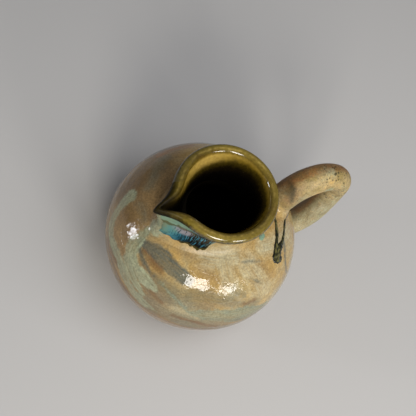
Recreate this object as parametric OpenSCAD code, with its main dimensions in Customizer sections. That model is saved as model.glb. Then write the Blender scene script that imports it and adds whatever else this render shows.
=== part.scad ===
// Small stoneware pitcher: round body, luted neck with pinched spout, one loop handle.
// Millimetres. The foot stands on z = 0 about the origin, the handle points to +X.

/* [Globe] */

// Widest diameter of the globe
belly_d = 130; // [116:1:144]
// Height of the widest circle above the table
belly_h = 48; // [46:0.5:50]
// Radius of the curve from the belly up over the shoulder
shoulder_arc = 46; // [42:0.5:49]
// Radius of the curve from the belly down to the foot
haunch_arc = 54; // [52:0.5:60]
// Wall thickness of the globe
wall = 5; // [4:0.25:6.5]
// Diameter of the hole in the globe's top
throat_d = 41; // [39:0.5:43]

/* [Foot] */

// Outside diameter of the turned foot ring
foot_d = 78; // [74:1:84]
// Width of the foot ring's resting face
foot_w = 6; // [4:0.5:9]
// Depth of the recess turned inside the foot ring
recess = 2.5; // [1.5:0.25:4]
// Thickness of the floor over the recess
floor_t = 5; // [4:0.25:8]

/* [Collar] */

// Height of the collar from the globe's top to the clay lip
collar_h = 28.5; // [22:0.5:36]
// Diameter of the collar's foot where it sits on the globe
collar_d = 50; // [48.5:0.5:54]
// Outside diameter of the clay lip
lip_d = 64.2; // [60:0.2:70]
// Thickness of the rolled lip
lip_t = 5.2; // [4:0.1:6.5]
// How quickly the collar flares towards the lip
flare = 1.8; // [1.3:0.1:2.6]

/* [Spout] */

// Reach of the spout's tip beyond the lip
spout_reach = 15; // [9:0.5:19]
// Half width of the pinch at the lip
spout_half = 4.8; // [3.6:0.1:7]
// Thickness of the clay at the spout's tip
tip_t = 3.5; // [2.8:0.1:4.5]
// Rise of the spout's tip above the lip
spout_lift = 1.2; // [0:0.2:3]
// Reach of the spout's keel on the shoulder beyond the collar's foot
keel_reach = 15.5; // [11:0.5:18]
// Half width of the swelling under the spout at the collar's foot
keel_half = 12; // [9:0.5:15]
// Turn of the spout away from the line through the handle, in degrees
spout_turn = 2; // [-6:0.5:6]

/* [Handle] */

// Diameter of the pulled handle at its outermost point
handle_d = 17; // [14:0.2:19]
// Diameter of the handle where it meets the body
root_d = 18.8; // [15:0.2:21]
// Clear space between the belly and the handle
finger_gap = 14.6; // [12:0.2:24]
// Place of the upper root on the shoulder's curve, in degrees above the widest circle
root_angle = 52.8; // [50:0.2:56]
// Height of the lower root
root_low_h = 27.5; // [23:0.5:33]
// Height of the handle's outermost point
loop_h = 89.5; // [84:0.5:95]
// Angle at which the handle leaves the shoulder
rise_top = 72; // [64:1:80]
// Angle at which the handle leaves the lower belly
rise_low = 9; // [-2:1:14]
// Straight length at each root
root_straight = 9; // [7:0.5:11]
// Pull of the curve at the upper root
pull_top = 30.5; // [27:0.5:34]
// Pull of the curve above the outermost point
pull_over = 20; // [16:0.5:24]
// Pull of the curve below the outermost point
pull_under = 15.5; // [12:0.5:20]
// Pull of the curve at the lower root
pull_low = 22.5; // [19:0.5:26]

/* [Root wads] */

// Spread of the clay pressed round each root
wad_w = 4.5; // [3:0.25:6]
// Height of the clay pressed round each root
wad_h = 5; // [3.5:0.25:6.5]
// Thickness of the wad's worn edges
wad_edge = 0.8; // [0.5:0.1:1.2]

/* [Glaze] */

// Thickness of the thick coats inside and over the lip
coat_t = 0.6; // [0.4:0.05:0.9]
// Thickness of the turquoise run beside the spout
run_t = 1.2; // [0.9:0.1:1.8]
// Sweep of the turquoise run round the neck, in degrees
sweep_angle = 52; // [40:1:60]
// Diameter of the loose bead under the lip
bead_d = 4.4; // [3:0.2:6]
// Width of the dark runs on the shoulder
drip_w = 2.8; // [2:0.1:3.6]
// Width of the drop that ends the longer dark run
drop_w = 6; // [4.6:0.2:7]
// Thickness of the dark runs
drip_t = 0.9; // [0.7:0.1:1.4]
// Thickness at the edge of the dark runs
drip_edge = 0.2; // [0.1:0.05:0.3]

/* [Fit] */

// Clearance left where one piece is pressed on another
seat_gap = 0.15; // [0.1:0.01:0.25]

/* [Hidden] */

$fn = 240;

clay = [0.62, 0.56, 0.42];
olive = [0.42, 0.36, 0.12];
dark_glaze = [0.12, 0.1, 0.06];
turquoise = [0.3, 0.52, 0.52];

belly_r = belly_d / 2;
off_up = belly_r - shoulder_arc;
off_low = belly_r - haunch_arc;
throat_r = throat_d / 2;
foot_r = foot_d / 2;
foot_top = belly_h - sqrt(haunch_arc * haunch_arc - (foot_r - off_low) * (foot_r - off_low));
floor_top = recess + floor_t;

collar_r = collar_d / 2;
lip_r = lip_d / 2;
globe_top = belly_h + shoulder_arc;
lip_mid_h = globe_top + collar_h - lip_t / 2;
// angular spreads of the pinch, at the lip and at the collar's foot
pinch_lip = spout_half / lip_r * 180 / PI;
pinch_foot = keel_half / collar_r * 180 / PI;
// share of the outer spread that the inner face of the collar takes
pinch_inner = 0.85;
// rounding of the keel's nose, as a share of the spread
nose = 0.28;
// reach of the inner face under the spout, where the collar meets the throat
inner_keel = 3;

// how fast the inner face takes up the spout's reach
channel_power = 0.7;

angle_steps = 72;
// share of the angles round the collar that is spaced evenly
even_share = 0.35;
outer_steps = 10;
lip_steps = 6;
inner_steps = 7;
seat_steps = 5;
coat_from = 9;

handle_r = handle_d / 2;
root_r = root_d / 2;
handle_x = belly_r + finger_gap + handle_r;
top_tilt = root_angle;
low_tilt = -asin((belly_h - root_low_h) / haunch_arc);
root_top = [off_up + shoulder_arc * cos(top_tilt), belly_h + shoulder_arc * sin(top_tilt)];
root_low = [off_low + haunch_arc * cos(low_tilt), root_low_h];
path_steps = 18;
ring_steps = 24;

// height of the globe's shoulder at radius r
function shoulder_z(r) =
    belly_h + sqrt(shoulder_arc * shoulder_arc - (r - off_up) * (r - off_up));

// a point on the shoulder at azimuth az and arc angle al, raised by lift
function shoulder_pt(az, al, lift) =
    let (r = off_up + (shoulder_arc + lift) * cos(al))
    [r * cos(az), r * sin(az), belly_h + (shoulder_arc + lift) * sin(al)];

// angles round the collar, closer together near the spout
function collar_angle(i) =
    let (u = 2 * i / angle_steps - 1)
    180 * sign(u) * mix(u * u, abs(u), even_share);

// share of the spout's reach at angle t for a spread of w degrees
function pinch(t, w) = exp(-(sqrt(t * t + nose * nose * w * w) - nose * w) / w);

function mix(a, b, s) = a + (b - a) * s;

// spread of the pinch at share s of the collar's height
function spread(s) = pinch_foot * pow(pinch_lip / pinch_foot, s);

function outer_r(t, s) =
    mix(collar_r, lip_r, pow(s, flare))
    + mix(keel_reach, spout_reach, s) * pinch(t, spread(s));

function inner_r(t, s) =
    mix(throat_r, lip_r - lip_t, pow(s, flare))
    + mix(inner_keel, spout_reach + lip_t - tip_t, pow(s, channel_power))
    * pinch(t, pinch_inner * spread(s));

function lip_z(t) = lip_mid_h + spout_lift * pinch(t, pinch_lip);

function foot_z(r) = shoulder_z(r) + seat_gap;

// a profile point [radius, height] of the collar's outer face
function outer_pt(t, s) = [outer_r(t, s), mix(foot_z(outer_r(t, 0)), lip_z(t), s)];

function inner_pt(t, s) = [inner_r(t, s), mix(foot_z(inner_r(t, 0)), lip_z(t), s)];

// the rolled lip, from its outer side at a = 0 to its inner side at a = 180
function lip_pt(t, a) =
    let (o = outer_r(t, 1), n = inner_r(t, 1))
    [(o + n) / 2 + (o - n) / 2 * cos(a), lip_z(t) + lip_t / 2 * sin(a)];

// the collar's face at angle t, from its foot up over the lip and down inside
function face(t) = concat(
    [for (k = [0 : outer_steps]) outer_pt(t, k / outer_steps)],
    [for (k = [1 : lip_steps - 1]) lip_pt(t, 180 * k / lip_steps)],
    [for (k = [inner_steps : -1 : 0]) inner_pt(t, k / inner_steps)]);

// the collar's seat, from the throat back out along the shoulder
function seat(t) =
    let (n = inner_r(t, 0), o = outer_r(t, 0))
    [for (k = [1 : seat_steps - 1])
        let (r = mix(n, o, k / seat_steps)) [r, foot_z(r)]];

// unit normal of a profile at point k, to the left of its run
function profile_normal(f, k) =
    let (a = f[max(k - 1, 0)], b = f[min(k + 1, len(f) - 1)], d = b - a)
    [d[1], -d[0]] / norm(d);

// the coat at angle t: its outer face, then back along the clay
function coat(t) =
    let (f = face(t), n = len(f) - 1)
    concat(
        [for (k = [coat_from : n - 1]) f[k] + coat_t * profile_normal(f, k)],
        [f[n] + [-coat_t, seat_gap]],
        [f[n] + [0, seat_gap]],
        [for (k = [n - 1 : -1 : coat_from]) f[k]]);

function turned(p, t) = [p[0] * cos(180 + spout_turn + t), p[0] * sin(180 + spout_turn + t), p[1]];

// triangles of a grid of rows by cols points, closed across both ways
function ring_faces(rows, cols) = [
    for (i = [0 : rows - 1], k = [0 : cols - 1])
        let (a = i * cols + k, b = i * cols + (k + 1) % cols,
            c = (i + 1) % rows * cols + (k + 1) % cols, d = (i + 1) % rows * cols + k)
        for (tri = [[a, b, c], [a, c, d]]) tri];

// triangles of a row of closed rings with flat ends
function tube_faces(rows, cols) = concat(
    [for (i = [0 : rows - 2], k = [0 : cols - 1])
        let (a = i * cols + k, b = i * cols + (k + 1) % cols)
        for (tri = [[a, b, b + cols], [a, b + cols, a + cols]]) tri],
    [[for (k = [cols - 1 : -1 : 0]) k]],
    [[for (k = [0 : cols - 1]) (rows - 1) * cols + k]]);

function heading(a) = [cos(a), sin(a)];

function bezier(p, q, v, w, t) =
    pow(1 - t, 3) * p + 3 * pow(1 - t, 2) * t * q + 3 * (1 - t) * t * t * v + pow(t, 3) * w;

function bezier_way(p, q, v, w, t) =
    pow(1 - t, 2) * (q - p) + 2 * (1 - t) * t * (v - q) + t * t * (w - v);

top_bend = root_top + root_straight * heading(rise_top);
low_bend = root_low + root_straight * heading(rise_low);
loop_out = [handle_x, loop_h];
upper_curve = [top_bend, top_bend + pull_top * heading(rise_top), loop_out + [0, pull_over], loop_out];
lower_curve = [loop_out, loop_out - [0, pull_under], low_bend + pull_low * heading(rise_low), low_bend];

// a point of a curve with its direction
function along(c, t) =
    let (d = bezier_way(c[0], c[1], c[2], c[3], t))
    [bezier(c[0], c[1], c[2], c[3], t), d / norm(d)];

// radius of the handle at share t of the way from a root to its outermost point
function girth(t) = mix(root_r, handle_r, pow(sin(90 * t), 2));

// centre line of the handle as [point, direction, radius], started inside the globe's wall
handle_path = concat(
    [[root_top - wall * heading(rise_top), heading(rise_top), root_r]],
    [for (k = [0 : path_steps])
        let (t = k / path_steps)
        concat(along(upper_curve, t), girth(t))],
    [for (k = [1 : path_steps])
        let (t = k / path_steps)
        concat(along(lower_curve, t), girth(1 - t))],
    [[root_low - wall * heading(rise_low), -heading(rise_low), root_r]]);

// the globe's outer form as a thick ring, grown by a clearance
module globe_form(grow) {
    rotate_extrude()
        union() {
            intersection() {
                translate([off_up, belly_h])
                    circle(r = shoulder_arc + grow);
                translate([throat_r, belly_h])
                    square([belly_d, belly_d]);
            }
            intersection() {
                translate([off_low, belly_h])
                    circle(r = haunch_arc + grow);
                translate([throat_r, 0])
                    square([belly_d, belly_h]);
            }
        }
}

// outline of the space inside the globe, drawn in by a coat
module hollow_outline(inset) {
    intersection() {
        translate([off_up, belly_h])
            circle(r = shoulder_arc - wall - inset);
        translate([0, belly_h])
            square([belly_d, belly_d]);
    }
    intersection() {
        translate([off_low, belly_h])
            circle(r = haunch_arc - wall - inset);
        translate([0, floor_top + inset])
            square([belly_d, belly_h - floor_top - inset]);
    }
    translate([0, floor_top + inset])
        square([throat_r - inset, shoulder_z(throat_r) - floor_top - inset]);
}

// thrown body with its floor and turned foot
module globe() {
    color(clay)
        rotate_extrude()
            difference() {
                union() {
                    intersection() {
                        translate([off_up, belly_h])
                            circle(r = shoulder_arc);
                        translate([throat_r, belly_h])
                            square([belly_d, belly_d]);
                    }
                    intersection() {
                        translate([off_low, belly_h])
                            circle(r = haunch_arc);
                        square([belly_d, belly_h]);
                    }
                    square([foot_r, foot_top + recess]);
                }
                hollow_outline(0);
                square([foot_r - foot_w, recess]);
            }
}

// neck with its rolled lip and pinched spout
module collar() {
    sections = [for (i = [0 : angle_steps - 1])
        let (t = collar_angle(i), f = concat(face(t), seat(t)))
        [for (p = f) turned(p, t)]];
    color(clay)
        polyhedron(
            points = [for (s = sections, p = s) p],
            faces = ring_faces(angle_steps, len(sections[0])),
            convexity = 6);
}

// pulled loop, its ends cut to the globe
module handle() {
    rings = [for (s = handle_path)
        [for (k = [0 : ring_steps - 1])
            let (a = 360 * k / ring_steps, n = [-s[1][1], s[1][0]], q = s[0] + s[2] * cos(a) * n)
            [q[0], s[2] * sin(a), q[1]]]];
    color(clay)
        difference() {
            polyhedron(
                points = [for (ring = rings, p = ring) p],
                faces = tube_faces(len(rings), ring_steps),
                convexity = 6);
            globe_form(seat_gap);
        }
}

// ring of clay pressed round a root, with its hollow fillet
module root_wad(root, tilt, rise) {
    difference() {
        translate([root[0], 0, root[1]])
            rotate([0, 90 - tilt, 0])
                rotate_extrude()
                    difference() {
                        translate([0, -wall])
                            square([root_r + wad_w, wall + wad_h]);
                        translate([root_r + wad_w + wad_edge, wad_h + wad_edge])
                            circle(r = wad_h);
                    }
        translate([root[0], 0, root[1]])
            rotate([0, 90 - rise, 0])
                translate([0, 0, -4 * wall])
                    cylinder(r = root_r + seat_gap, h = 4 * wall + 4 * wad_h);
        globe_form(seat_gap);
    }
}

module upper_root_wad() {
    color(clay)
        root_wad(root_top, top_tilt, rise_top);
}

module lower_root_wad() {
    color(clay)
        root_wad(root_low, low_tilt, rise_low);
}

// glossy coat inside the globe
module liner_glaze() {
    color(dark_glaze)
        rotate_extrude()
            difference() {
                hollow_outline(0);
                hollow_outline(coat_t);
                translate([0, shoulder_z(throat_r) - seat_gap])
                    square([belly_d, belly_d]);
            }
}

// thick coat over the lip and down inside the collar
module lip_glaze() {
    sections = [for (i = [0 : angle_steps - 1])
        let (t = collar_angle(i))
        [for (p = coat(t)) turned(p, t)]];
    color(olive)
        polyhedron(
            points = [for (s = sections, p = s) p],
            faces = ring_faces(angle_steps, len(sections[0])),
            convexity = 6);
}

run_cols = 18;
run_rows = 9;
run_from_angle = 3;
// shares of the collar's height between which the run lies, and how far its end climbs
low_share = 0.05;
high_share = 0.84;
climb_share = 0.4;
climb_power = 4;
// share of the run's thickness at its edges, and how much of it stands upwards
edge_share = 0.25;
up_share = 0.35;
// azimuth and arc angle of the bead that hangs under the lip, measured on the shoulder
bead_angles = [-44.5, 71.5];

// a point of the turquoise run at shares u round the neck and v up it
function run_pt(u, v, out) =
    let (t = run_from_angle + sweep_angle * u,
        low = low_share + climb_share * pow(u, climb_power),
        s = mix(low, high_share, v),
        p = outer_pt(t, s),
        lift = seat_gap + out * run_t * mix(edge_share, 1, sin(180 * u) * sin(180 * v)))
    turned(p + [lift, up_share * lift], t);

// thick run beside the spout and one loose bead
module spout_glaze_run() {
    rings = [for (i = [0 : run_cols])
        concat(
            [for (k = [0 : run_rows]) run_pt(i / run_cols, k / run_rows, 1)],
            [for (k = [run_rows : -1 : 0]) run_pt(i / run_cols, k / run_rows, 0)])];
    color(turquoise) {
        polyhedron(
            points = [for (ring = rings, p = ring) p],
            faces = tube_faces(run_cols + 1, 2 * run_rows + 2),
            convexity = 6);
        difference() {
            translate(shoulder_pt(bead_angles[0], bead_angles[1], 0))
                sphere(d = bead_d);
            globe_form(seat_gap);
        }
    }
}

drip_steps = 14;
drip_across = [-1, -0.6, 0, 0.6, 1];
// ends of the dark runs as azimuth and arc angle on the shoulder
long_from_angles = [-19, 61];
long_to_angles = [-52, 48];
short_from_angles = [-18.2, 50.3];
short_to_angles = [-46, 45.5];
// sideways bow of both runs, in degrees of arc
bow_angle = 2.4;
// how late a run swells into its drop, how blunt its ends are, and their least share of its width
drop_power = 8;
round_power = 9;
tip_share = 0.06;

// round-ended half width of a run at share v of its length, least at its tips
function drip_half(v, end_w) =
    mix(drip_w, end_w, pow(v, drop_power)) / 2
    * sqrt(max(tip_share, 1 - pow(abs(2 * v - 1), round_power)));

// a point across a dark run, at x from -1 to 1 over its half width
function drip_pt(mid, side, half, x, lift) =
    let (r = off_up + shoulder_arc * cos(mid[1]))
    shoulder_pt(mid[0] + side[0] * half * x / r, mid[1] + side[1] * half * x / shoulder_arc, lift);

// one dark run: a low ribbon on the shoulder, as wide at its end as end_w
module drip(from, to, end_w) {
    rings = [for (i = [0 : drip_steps])
        let (v = i / drip_steps,
            mid = mix(from, to, v) + [0, bow_angle * sin(180 * v)],
            way = to - from + [0, bow_angle * PI * cos(180 * v)],
            run = [way[0] * (off_up + shoulder_arc * cos(mid[1])), way[1] * shoulder_arc],
            side = [-run[1], run[0]] / norm(run) * 180 / PI,
            half = drip_half(v, end_w))
        concat(
            [for (x = drip_across)
                drip_pt(mid, side, half, x, seat_gap + drip_edge + drip_t * (1 - x * x))],
            [for (k = [len(drip_across) - 1 : -1 : 0])
                drip_pt(mid, side, half, drip_across[k], seat_gap)])];
    polyhedron(
        points = [for (ring = rings, p = ring) p],
        faces = tube_faces(drip_steps + 1, 2 * len(drip_across)),
        convexity = 4);
}

// dark runs from the handle's upper root, the longer one ending in a drop
module root_glaze_run() {
    color(dark_glaze) {
        drip(long_from_angles, long_to_angles, drop_w);
        drip(short_from_angles, short_to_angles, drip_w);
    }
}

globe();
collar();
handle();
upper_root_wad();
lower_root_wad();
liner_glaze();
lip_glaze();
spout_glaze_run();
root_glaze_run();
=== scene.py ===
import functools
import math
import bmesh
import bpy
import numpy as np
from mathutils import Matrix, Vector


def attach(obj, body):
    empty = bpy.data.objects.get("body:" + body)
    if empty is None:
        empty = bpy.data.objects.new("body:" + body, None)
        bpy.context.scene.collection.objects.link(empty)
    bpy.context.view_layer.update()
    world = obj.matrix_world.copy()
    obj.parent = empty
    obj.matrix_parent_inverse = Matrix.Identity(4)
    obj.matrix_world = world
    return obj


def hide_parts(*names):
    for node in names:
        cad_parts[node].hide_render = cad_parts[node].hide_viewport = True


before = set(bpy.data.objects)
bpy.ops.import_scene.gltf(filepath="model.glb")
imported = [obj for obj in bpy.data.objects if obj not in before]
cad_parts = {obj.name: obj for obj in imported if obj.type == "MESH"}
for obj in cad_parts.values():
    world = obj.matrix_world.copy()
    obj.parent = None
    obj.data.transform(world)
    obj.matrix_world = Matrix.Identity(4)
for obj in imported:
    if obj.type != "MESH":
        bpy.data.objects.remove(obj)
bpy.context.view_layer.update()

scene = bpy.context.scene
scene.view_settings.view_transform = "Standard"
mm = 0.001
print("frame loaded, nodes:", len(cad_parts))


# small tools

def toLinear(hexColour):
    parts = [int(hexColour[i:i + 2], 16) / 255 for i in (1, 3, 5)]
    return [c / 12.92 if c <= 0.04045 else ((c + 0.055) / 1.055) ** 2.4 for c in parts] + [1]


# adds a node with its settings, values and links; the kind may have its mode behind it, and the values
# come in the order of the sockets or in a dictionary by place
modeNames = dict(Math="operation", VectorMath="operation", Mix="data_type", MapRange="interpolation_type")


def addNode(tree, kind, *inputs, stops=(), out=0, **settings):
    kind, *modes = kind.split()
    family = next(f for f in ("ShaderNode", "GeometryNode", "Node") if hasattr(bpy.types, f + kind))
    node = tree.nodes.new(family + kind)
    settings.update((modeNames[kind], mode) for mode in modes)
    for name, value in settings.items():
        setattr(node, name, value)
    values = {}
    for i, given in enumerate(inputs):
        values.update(given if isinstance(given, dict) else {i: given})
    for place, value in values.items():
        if isinstance(value, bpy.types.NodeSocket):
            tree.links.new(value, node.inputs[place])
        elif value is not None:
            isColour = isinstance(value, str) and value.startswith("#")
            node.inputs[place].default_value = toLinear(value) if isColour else value
    for i, (place, colour) in enumerate(stops):
        ramp = node.color_ramp.elements
        stop = ramp[i] if i < 2 else ramp.new(place)
        stop.position = place
        stop.color = toLinear(colour)
    return node.outputs[out] if node.outputs else node


def newMaterial(name):
    material = bpy.data.materials.new(name)
    material.use_nodes = True
    material.node_tree.nodes.clear()
    return material, functools.partial(addNode, material.node_tree)


def endMaterial(add, inputs):
    add("OutputMaterial", add("BsdfPrincipled", inputs))


def newTree(name, sockets):
    tree = bpy.data.node_groups.new(name, "GeometryNodeTree")
    labels = {"Geometry": "Geometry"} | sockets | {"Material": "Material"}
    for label, kind in labels.items():
        tree.interface.new_socket(label, in_out="INPUT", socket_type="NodeSocket" + kind)
    tree.interface.new_socket("Geometry", in_out="OUTPUT", socket_type="NodeSocketGeometry")
    add = functools.partial(addNode, tree)
    return tree, add, add("GroupInput").node.outputs


def endTree(add, geometry, material):
    real = add("RealizeInstances", geometry)
    add("GroupOutput", add("SetMaterial", real, {"Material": material}))


def newObject(name, mesh):
    obj = bpy.data.objects.new(name, mesh)
    scene.collection.objects.link(obj)
    return obj


# runs a node tree on a base mesh and gives the result as a plain mesh
def grow(name, base, tree, values):
    obj = newObject("base", base)
    modifier = obj.modifiers.new("grow", "NODES")
    modifier.node_group = tree
    for item in tree.interface.items_tree:
        if item.in_out == "INPUT" and item.name in values:
            modifier[item.identifier] = values[item.name]
    obj.update_tag()
    depsgraph = bpy.context.evaluated_depsgraph_get()
    mesh = bpy.data.meshes.new_from_object(obj.evaluated_get(depsgraph))
    obj.modifiers.remove(modifier)
    bpy.data.objects.remove(obj)
    mesh.name = name
    return mesh


# a mesh of edges along lines of points in millimetres
def lineMesh(name, lines):
    edges, start = [], 0
    for line in lines:
        edges += [(start + i, start + i + 1) for i in range(len(line) - 1)]
        start += len(line)
    mesh = bpy.data.meshes.new(name)
    mesh.from_pydata((np.concatenate(lines) * mm).tolist(), edges, [])
    return mesh


# a mesh from rows of points in millimetres, closed round each way as asked
def gridMesh(name, points, closeRows=False, closeColumns=False, caps=False):
    points = np.asarray(points, float)
    grid = np.arange(points.size // 3).reshape(points.shape[:2])
    ends = [grid[0, ::-1].tolist(), grid[-1].tolist()] if caps else []
    grid = np.pad(grid, ((0, int(closeRows)), (0, int(closeColumns))), "wrap")
    corners = [grid[:-1, :-1], grid[:-1, 1:], grid[1:, 1:], grid[1:, :-1]]
    faces = np.stack(corners, -1).reshape(-1, 4).tolist()
    mesh = bpy.data.meshes.new(name)
    mesh.from_pydata((points.reshape(-1, 3) * mm).tolist(), [], faces + ends)
    return mesh


# turns a closed shell's faces outwards and smooths it, leaving edges sharper than the angle
def closeShell(mesh, sharp):
    shell = bmesh.new()
    shell.from_mesh(mesh)
    bmesh.ops.remove_doubles(shell, verts=shell.verts, dist=1e-7)
    bmesh.ops.recalc_face_normals(shell, faces=shell.faces)
    if shell.calc_volume(signed=True) < 0:
        bmesh.ops.reverse_faces(shell, faces=shell.faces)
    shell.to_mesh(mesh)
    shell.free()
    mesh.shade_smooth()
    mesh.set_sharp_from_angle(angle=math.radians(sharp))


def places(mesh):
    spots = np.empty(len(mesh.vertices) * 3)
    mesh.vertices.foreach_get("co", spots)
    return spots.reshape(-1, 3) / mm


def setValues(mesh, **named):
    for name, values in named.items():
        values = np.asarray(values, np.float32)
        kind, key = ("FLOAT", "value") if values.ndim == 1 else ("FLOAT_VECTOR", "vector")
        mesh.attributes.new(name, kind, "POINT").data.foreach_set(key, values.ravel())


# values for the rows of a face and, in reverse, of its back
def frontAndBack(values):
    return np.concatenate([values, values[:, ::-1]], 1).ravel()


# a finished mesh becomes a piece that rides on the body in place of its nodes
def finishPiece(mesh, slot, *nodes):
    obj = newObject(mesh.name, mesh)
    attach(obj, "root")
    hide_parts(*nodes)
    print("piece", obj.name, "faces", len(mesh.polygons))


def length(v):
    return np.linalg.norm(v, axis=-1)


def unit(v):
    return v / length(v)[..., None]


# how far along a line of points each of them lies
def alongLine(points):
    return np.concatenate([[0], np.cumsum(length(np.diff(points, axis=0)))])


# profile points [radius, height] as places in the plane of the handle
def inPlane(points):
    return np.insert(np.asarray(points, float), 1, 0, -1)


def mix(a, b, share):
    return a + (b - a) * share


def smooth(low, high, x):
    share = np.clip((x - low) / (high - low), 0, 1)
    return share * share * (3 - 2 * share)


def hill(x, middle, half):
    return np.exp(-((x - middle) / half) ** 2)


# sines of given depths, rates and phases added up, for an uneven edge
def waves(sines, x):
    return sum(depth * np.sin(rate * x + phase) for depth, rate, phase in sines)


# camera and light

view = dict(azimuth=-136.88, elevation=63.63, roll=31.36, distance=547.2, aim=(8.4, 15.0, 56.1),
            focalPixels=800, imagePixels=416, sensor=36, nearest=0.02)

lens = bpy.data.cameras.new("camera")
lens.sensor_width = view["sensor"]
lens.lens = view["focalPixels"] / view["imagePixels"] * view["sensor"]
lens.clip_start = view["nearest"]


def towards(azimuth, elevation):
    a, e = math.radians(azimuth), math.radians(elevation)
    return Vector((math.cos(e) * math.cos(a), math.cos(e) * math.sin(a), math.sin(e)))


camera = newObject("camera", lens)
turn = Matrix.Rotation(math.radians(view["azimuth"] + 90), 4, "Z")
tilt = Matrix.Rotation(math.radians(90 - view["elevation"]), 4, "X")
roll = Matrix.Rotation(math.radians(view["roll"]), 4, "Z")
stand = Vector(view["aim"]) * mm + towards(view["azimuth"], view["elevation"]) * view["distance"] * mm
camera.matrix_world = Matrix.Translation(stand) @ turn @ tilt @ roll
scene.camera = camera

# two window-like boxes on the camera's side, a low narrow one beside the spout, and a broad weak one above
softBoxes = dict(
    keyBox=dict(azimuth=248, elevation=32, distance=1.2, size=(0.42, 0.36), power=8, colour="#fffaf2"),
    nextBox=dict(azimuth=281, elevation=19, distance=1.2, size=(0.3, 0.28), power=4.2, colour="#fffaf2"),
    sideBox=dict(azimuth=160, elevation=9, distance=1.2, size=(0.13, 0.3), power=2.6, colour="#f6f9ff"),
    topBox=dict(azimuth=312, elevation=66, distance=1.3, size=(1.1, 1.1), power=12, colour="#fbfbff",
                inGloss=False),
)
lampCentre = Vector((0, 0, 0.06))

for name, box in softBoxes.items():
    lamp = bpy.data.lights.new(name, "AREA")
    lamp.shape = "RECTANGLE"
    lamp.size, lamp.size_y = box["size"]
    lamp.energy = box["power"]
    lamp.color = toLinear(box["colour"])[:3]
    holder = newObject(name, lamp)
    holder.visible_glossy = box.get("inGloss", True)
    reach = towards(box["azimuth"], box["elevation"])
    holder.location = lampCentre + reach * box["distance"]
    holder.rotation_euler = (-reach).to_track_quat("-Z", "Y").to_euler()

studio = dict(colour="#f4f6fa", strength=0.1)
world = bpy.data.worlds.new("studio")
scene.world = world
world.use_nodes = True
worldGlow = world.node_tree.nodes["Background"]
worldGlow.inputs["Color"].default_value = toLinear(studio["colour"])
worldGlow.inputs["Strength"].default_value = studio["strength"]
print("camera and light set")


# floor

floorSizes = dict(half=2000, colour="#b9b8b6", rough=0.8)
half = floorSizes["half"]
floorMesh = gridMesh("floor", [[(-half, -half, 0), (half, -half, 0)], [(-half, half, 0), (half, half, 0)]])
floor = newObject("floor", floorMesh)
floorPaint, add = newMaterial("mattFloorPaint")
endMaterial(add, {"Base Color": floorSizes["colour"], "Roughness": floorSizes["rough"]})
floorMesh.materials.append(floorPaint)


# shared form: the globe's two arcs, in millimetres

globe = dict(bellyR=65, bellyH=48, shoulderArc=46, haunchArc=54, wall=5, throatR=20.5,
             footR=39, footW=6, recess=2.5, floorT=5, edge=0.6)
shoulderOff = globe["bellyR"] - globe["shoulderArc"]
haunchOff = globe["bellyR"] - globe["haunchArc"]


def shoulderZ(r):
    return globe["bellyH"] + np.sqrt(globe["shoulderArc"] ** 2 - (r - shoulderOff) ** 2)


# the arc that a height lies on: how far its centre is off the axis, and its radius
def arcAt(height):
    up = height >= globe["bellyH"]
    return np.where(up, shoulderOff, haunchOff), np.where(up, globe["shoulderArc"], globe["haunchArc"])


# point on an arc at an azimuth and an angle of the arc, in degrees
def onArc(azimuth, angle, off, arc):
    a, e = np.radians(azimuth), np.radians(angle)
    r = off + arc * np.cos(e)
    return np.stack([r * np.cos(a), r * np.sin(a), globe["bellyH"] + arc * np.sin(e)], -1)


def onShoulder(azimuth, angle, lift=0.0):
    return onArc(azimuth, angle, shoulderOff, globe["shoulderArc"] + lift)


# point on the shoulder or haunch at an azimuth and a height
def onGlobe(azimuth, height):
    off, arc = arcAt(height)
    rise = np.arcsin(np.clip((height - globe["bellyH"]) / arc, -1, 1))
    return onArc(azimuth, np.degrees(rise), off, arc)


# how far a point lies outside the globe's surface
def outsideGlobe(p):
    off, arc = arcAt(p[..., 2])
    return np.hypot(np.hypot(p[..., 0], p[..., 1]) - off, p[..., 2] - globe["bellyH"]) - arc


# places moved along the globe's outward way on to its surface
def droppedOn(p):
    inward = arcAt(p[:, 2])[0] / np.hypot(p[:, 0], p[:, 1])
    way = p - np.stack([p[:, 0] * inward, p[:, 1] * inward, np.full(len(p), globe["bellyH"])], -1)
    return p - unit(way) * outsideGlobe(p)[..., None]


# shared form: the collar with its pinched spout, by angle t from the spout and share s of its height

collar = dict(footR=25, lipR=32.1, lipT=5.2, flare=1.8, lipMid=119.9, spoutReach=15, spoutHalf=4.8,
              tipT=3.5, spoutLift=1.2, keelReach=15.5, keelHalf=12, spoutTurn=2, seatGap=0.15,
              pinchInner=0.85, nose=0.28, innerKeel=3, channelPower=0.7, evenShare=0.35, filletR=6.0,
              sunk=0.35)
pinchLip = math.degrees(collar["spoutHalf"] / collar["lipR"])
pinchFoot = math.degrees(collar["keelHalf"] / collar["footR"])


def collarAngles(steps):
    u = 2 * np.arange(steps) / steps - 1
    return 180 * np.sign(u) * mix(u * u, np.abs(u), collar["evenShare"])


def pinch(t, width):
    blunt = collar["nose"] * width
    return np.exp(-(np.sqrt(t * t + blunt * blunt) - blunt) / width)


def spread(s):
    return pinchFoot * (pinchLip / pinchFoot) ** s


def outerR(t, s):
    c = collar
    reach = mix(c["keelReach"], c["spoutReach"], s)
    return mix(c["footR"], c["lipR"], s ** c["flare"]) + reach * pinch(t, spread(s))


def innerR(t, s):
    c = collar
    reach = mix(c["innerKeel"], c["spoutReach"] + c["lipT"] - c["tipT"], s ** c["channelPower"])
    neck = mix(globe["throatR"], c["lipR"] - c["lipT"], s ** c["flare"])
    return neck + reach * pinch(t, c["pinchInner"] * spread(s))


def lipZ(t):
    return collar["lipMid"] + collar["spoutLift"] * pinch(t, pinchLip)


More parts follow.
